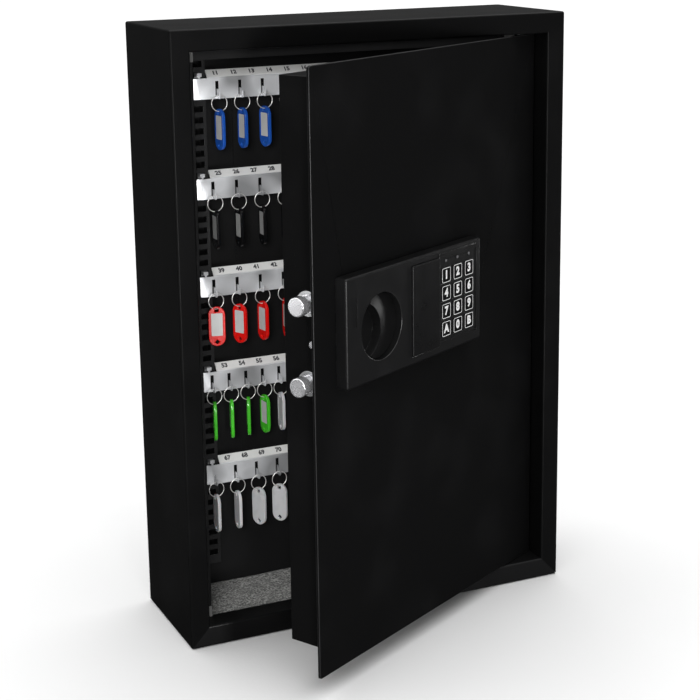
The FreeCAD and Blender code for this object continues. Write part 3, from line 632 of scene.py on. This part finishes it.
def make_key_legends():
    """A white character and a rounded outline on every key."""
    # the cap is this much smaller all round than the flange behind it
    flange = 1 * MM
    outer_inset = 0.35 * MM
    inner_inset = 0.85 * MM
    character_height = 7.0 * MM
    for name in KEY_NAMES:
        low, high = door_box("key_" + name)
        half = (high.x - low.x) / 2 - flange
        centre = Vector(((low.x + high.x) / 2, low.y - 0.02 * MM, (low.z + high.z) / 2))
        outside = rounded_rectangle(half - outer_inset, half - outer_inset, 1.6 * MM)
        inside = rounded_rectangle(half - inner_inset, half - inner_inset, 1.2 * MM)
        border = outline_curve([outside, inside], 0.08 * MM)
        digit = lettering(name.upper(), character_height, 0.04 * MM, 0.5 * MM)
        mesh = merged("legend_" + name, [(border, UPRIGHT), (digit, UPRIGHT)])
        piece("legend_" + name, mesh, LEGEND, "key_%s_cap" % name,
              DOOR @ Matrix.Translation(centre))


# ---------------------------------------------------------------- knob
def smooth_step(share):
    share = min(1.0, max(0.0, share))
    return share * share * (3 - 2 * share)


def make_knob():
    """A round knob whose grip is a sharp bowed ridge: a finger pocket on its left, a dish on its right."""
    low, high = door_box("knob")
    radius = (high.x - low.x) / 2
    centre = Vector(((low.x + high.x) / 2, high.y, (low.z + high.z) / 2))
    top = high.y - low.y
    floor = 0.9 * MM
    rim = 3.0 * MM
    wall_run = 1.5 * MM
    # the ridge is an arc about a point near the knob's left rim
    arc_x = -26 * MM
    arc_radius = 24 * MM
    reach = radius - arc_x - arc_radius
    lines, columns = 96, 34
    # the columns on the left crowd towards the ridge
    crowding = 1.7

    def height(x, z):
        """Height of the surface above the knob's back at this place."""
        offset = math.hypot(x - arc_x, z) - arc_radius
        if offset >= 0:
            return rim + (top - rim) * (1 - min(1.0, offset / reach)) ** 2
        return floor + (top - floor) * smooth_step(1 + offset / wall_run)

    built = bmesh.new()
    rows = []
    for line in range(lines + 1):
        z = radius * math.sin(math.pi * (line / lines - 0.5))
        span = math.sqrt(max(radius * radius - z * z, 0.0))
        ridge = max(arc_x + math.sqrt(max(arc_radius ** 2 - z * z, 0.0)), -span)
        left = [ridge - (ridge + span) * (1 - n / columns) ** crowding for n in range(columns)]
        right = [ridge + (span - ridge) * n / columns for n in range(columns + 1)]
        rows.append([built.verts.new((x, -height(x, z), z)) for x in left + right])
    for lower, upper in zip(rows, rows[1:]):
        for n in range(2 * columns):
            built.faces.new((lower[n], lower[n + 1], upper[n + 1], upper[n]))
    edge = [row[-1] for row in rows] + [row[0] for row in reversed(rows)]
    back = [built.verts.new((vertex.co.x, 0.0, vertex.co.z)) for vertex in edge]
    for n in range(len(edge)):
        built.faces.new((edge[n - 1], edge[n], back[n], back[n - 1]))
    built.faces.new(back)
    bmesh.ops.remove_doubles(built, verts=built.verts, dist=0.01 * MM)
    bmesh.ops.recalc_face_normals(built, faces=built.faces)
    mesh = bpy.data.meshes.new("grip_knob")
    built.to_mesh(mesh)
    built.free()
    knob = piece("grip_knob", mesh, KNOB_PLASTIC, "knob_assembly",
                 DOOR @ Matrix.Translation(centre))
    soften(knob, 0.22 * MM)
    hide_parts("knob")


def make_panel_lines():
    """Two fine raised lines on the panel, beside the knob and beside the keypad, each with a small stud."""
    low, high = door_box("lock_panel")
    front = low.y + 0.15 * MM
    parts = []
    for x, bottom, top, stud in ((low.x + 13 * MM, 41 * MM, 64 * MM, 64 * MM),
                                 (high.x - 8.5 * MM, 0.5 * MM, 75.5 * MM, 0.5 * MM)):
        bar = outline_curve([rounded_rectangle(0.3 * MM, (top - bottom) / 2, 0.25 * MM)], 1.4 * MM, 0.12 * MM)
        dot = outline_curve([arc(0, 0, 0.75 * MM, 0, 345, 15)], 1.6 * MM, 0.2 * MM)
        parts.append((bar, Matrix.Translation((x, front, (top + bottom) / 2)) @ UPRIGHT))
        parts.append((dot, Matrix.Translation((x, front, stud)) @ UPRIGHT))
    piece("panel_lines", merged("panel_lines", parts), PANEL, "door", DOOR)


# ---------------------------------------------------------------- felt mat
def make_mat():
    """A cut sheet of needle felt, a little wavy, with a fuzzy upper face."""
    low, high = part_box("felt_mat")
    width, depth = high.x - low.x, high.y - low.y
    columns, lines = 186, 46
    # the upper face waves about a level this far below the CAD sheet's top
    sink = 0.6 * MM
    built = bmesh.new()

    def wave(x, y):
        return 0.35 * MM * math.sin(31 * x + 2) * math.sin(47 * y + 1) + 0.2 * MM * math.sin(83 * x + 61 * y)

    layers = []
    for top in (True, False):
        grid = []
        for line in range(lines + 1):
            for column in range(columns + 1):
                x = low.x + width * column / columns
                y = low.y + depth * line / lines
                z = high.z - sink + wave(x, y) if top else low.z
                grid.append(built.verts.new((x, y, z)))
        layers.append(grid)
    stride = columns + 1
    for grid, flip in zip(layers, (False, True)):
        for line in range(lines):
            for column in range(columns):
                corner = line * stride + column
                loop = [grid[corner], grid[corner + 1], grid[corner + 1 + stride], grid[corner + stride]]
                built.faces.new(loop[::-1] if flip else loop)
    rim = list(range(columns)) + [columns + line * stride for line in range(lines)]
    rim += [lines * stride + columns - n for n in range(columns)]
    rim += [line * stride for line in range(lines, 0, -1)]
    top, bottom = layers
    for first, second in zip(rim, rim[1:] + rim[:1]):
        built.faces.new((top[first], bottom[first], bottom[second], top[second]))
    mesh = bpy.data.meshes.new("floor_mat")
    built.to_mesh(mesh)
    built.free()
    mat = piece("floor_mat", mesh, FELT, "cabinet")
    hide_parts("felt_mat")


make_rings()
make_tags()
make_strip_numbers()
make_key_legends()
make_knob()
make_panel_lines()
make_mat()


# ---------------------------------------------------------------- floor, light and camera
def make_stage():
    low = cad_box[0]
    half_side = 12.0
    mesh = bpy.data.meshes.new("floor")
    corners = [(x * half_side, y * half_side) for x, y in ((-1, -1), (1, -1), (1, 1), (-1, 1))]
    mesh.from_pydata([(x, y, low.z - 0.5 * MM) for x, y in corners], [], [(0, 1, 2, 3)])
    floor = bpy.data.objects.new("floor", mesh)
    bpy.context.scene.collection.objects.link(floor)
    finish = Finish("floor", (0.9, 0.9, 0.9), 0.9, specular_ior_level=0.1)
    finish.vary_colour(2, (0.87, 0.87, 0.87)).emboss(300, 0.0001)
    # a dim reflection, so the black steel stays black
    mix = finish.add("ShaderNodeMix", data_type="RGBA")
    finish.link(finish.add("ShaderNodeLightPath").outputs["Is Glossy Ray"], mix.inputs["Factor"])
    finish.link(finish.shader.inputs["Base Color"].links[0].from_socket, mix.inputs["A"])
    mix.inputs["B"].default_value = (0.03, 0.03, 0.03, 1.0)
    finish.link(mix.outputs["Result"], finish.shader.inputs["Base Color"])
    mesh.materials.append(finish.material)


def area_light(name, place, target, size, power, tall=None, only=None):
    """A soft rectangular light, which may shine only on the named pieces."""
    data = bpy.data.lights.new(name, "AREA")
    data.shape = "RECTANGLE"
    data.size = size
    data.size_y = tall or size
    data.energy = power
    lamp = bpy.data.objects.new(name, data)
    bpy.context.scene.collection.objects.link(lamp)
    lamp.location = place
    lamp.rotation_euler = (Vector(target) - Vector(place)).to_track_quat("-Z", "Y").to_euler()
    lamp.visible_camera = False
    if only:
        lamp.light_linking.receiver_collection = bpy.data.collections.new(name)
        for obj in bpy.context.scene.objects:
            if obj.name.startswith(only):
                lamp.light_linking.receiver_collection.objects.link(obj)


# the key light shines only on these, which are inside the cabinet or on the door's free edge
INSIDE = ("back_panel", "stop_flange", "corner_bumpers", "slotted_rails", "label_strips", "locking_bolts",
          "screws", "bolt_bushes", "floor_mat", "hook_bar", "split_rings", "strip_numbers", *TAG_COLOURS)
# the lock's front and the bright fittings of the door's free edge have lamps of their own
PANEL_PIECES = ("lock_panel", "lock_cover", "panel_lines")
BOLTS = ("locking_bolts", "screws", "bolt_bushes")


def make_lights():
    world = bpy.data.worlds.new("studio")
    world.use_nodes = True
    tree = world.node_tree
    background = tree.nodes["Background"]
    background.inputs["Color"].default_value = (1.0, 1.0, 1.0, 1.0)
    # white behind the object, and dim where it lights the object or is mirrored in it
    seen_strength = 1.1
    other_strength = 0.09
    strength = tree.nodes.new("ShaderNodeMapRange")
    strength.inputs["To Min"].default_value = other_strength
    strength.inputs["To Max"].default_value = seen_strength
    tree.links.new(tree.nodes.new("ShaderNodeLightPath").outputs["Is Camera Ray"], strength.inputs["Value"])
    tree.links.new(strength.outputs["Result"], background.inputs["Strength"])
    bpy.context.scene.world = world
    sky = bpy.data.lights.new("sky", "SUN")
    sky.angle = math.radians(100)
    sky.energy = 3.7
    bpy.context.scene.collection.objects.link(bpy.data.objects.new("sky", sky))
    area_light("key", (-0.95, -1.75, 0.55), (-0.12, -0.03, 0.0), 0.5, 33, only=INSIDE)
    # strips that draw thin highlights along the rounded edges, the last on the bottom side alone
    area_light("left_strip", (-1.5, -0.8, 0.1), (0.0, -0.1, 0.0), 0.12, 1.5, 1.2)
    area_light("front_strip", (-0.35, -1.8, -0.35), (0.0, -0.1, 0.0), 0.25, 26, 0.8)
    area_light("sill_strip", (0.2, -1.8, 0.1), (-0.12, -0.11, -0.25), 0.15, 25, only=("side_bottom",))
    # lamps that shine only on the lock's front, the knob or the bolts
    area_light("lock_front", (-0.27, -1.78, 0.15), (-0.05, -0.2, 0.03), 0.5, 20, 0.6, only=PANEL_PIECES)
    area_light("lock_right", (1.5, 0.3, 0.05), (0.0, -0.2, 0.03), 0.2, 3.5, 0.8, only=PANEL_PIECES)
    area_light("knob_right", (1.5, 0.3, 0.05), (0.0, -0.2, 0.03), 0.2, 2, 0.8, only=("grip_knob",))
    area_light("panel_left", (-1.6, 0.0, 0.0), (-0.1, -0.25, 0.03), 0.5, 9, 0.9, only=PANEL_PIECES)
    area_light("lock_left", (-1.6, 0.2, 0.0), (-0.13, -0.25, 0.03), 0.5, 5, 0.9, only=BOLTS)


def make_camera():
    """The calibrated viewpoint: camera place, turn and lens, with a small downward shift."""
    data = bpy.data.cameras.new("camera")
    camera = bpy.data.objects.new("camera", data)
    bpy.context.scene.collection.objects.link(camera)
    data.sensor_width = 36.0
    data.lens = 84.06
    data.shift_y = -0.12
    azimuth, elevation, roll = (math.radians(a) for a in (-24.517, 12.76, -0.817))
    back = Vector((math.sin(azimuth) * math.cos(elevation), -math.cos(azimuth) * math.cos(elevation),
                   math.sin(elevation)))
    turn = (-back).to_track_quat("-Z", "Y").to_matrix().to_4x4()
    place = Matrix.Translation((-0.6172, -1.4085, 0.3805))
    camera.matrix_world = place @ turn @ Matrix.Rotation(roll, 4, "Z")
    data.clip_start = 0.05
    data.clip_end = 50.0
    bpy.context.scene.camera = camera


make_stage()
make_lights()
make_camera()
bpy.context.scene.view_settings.view_transform = "Standard"
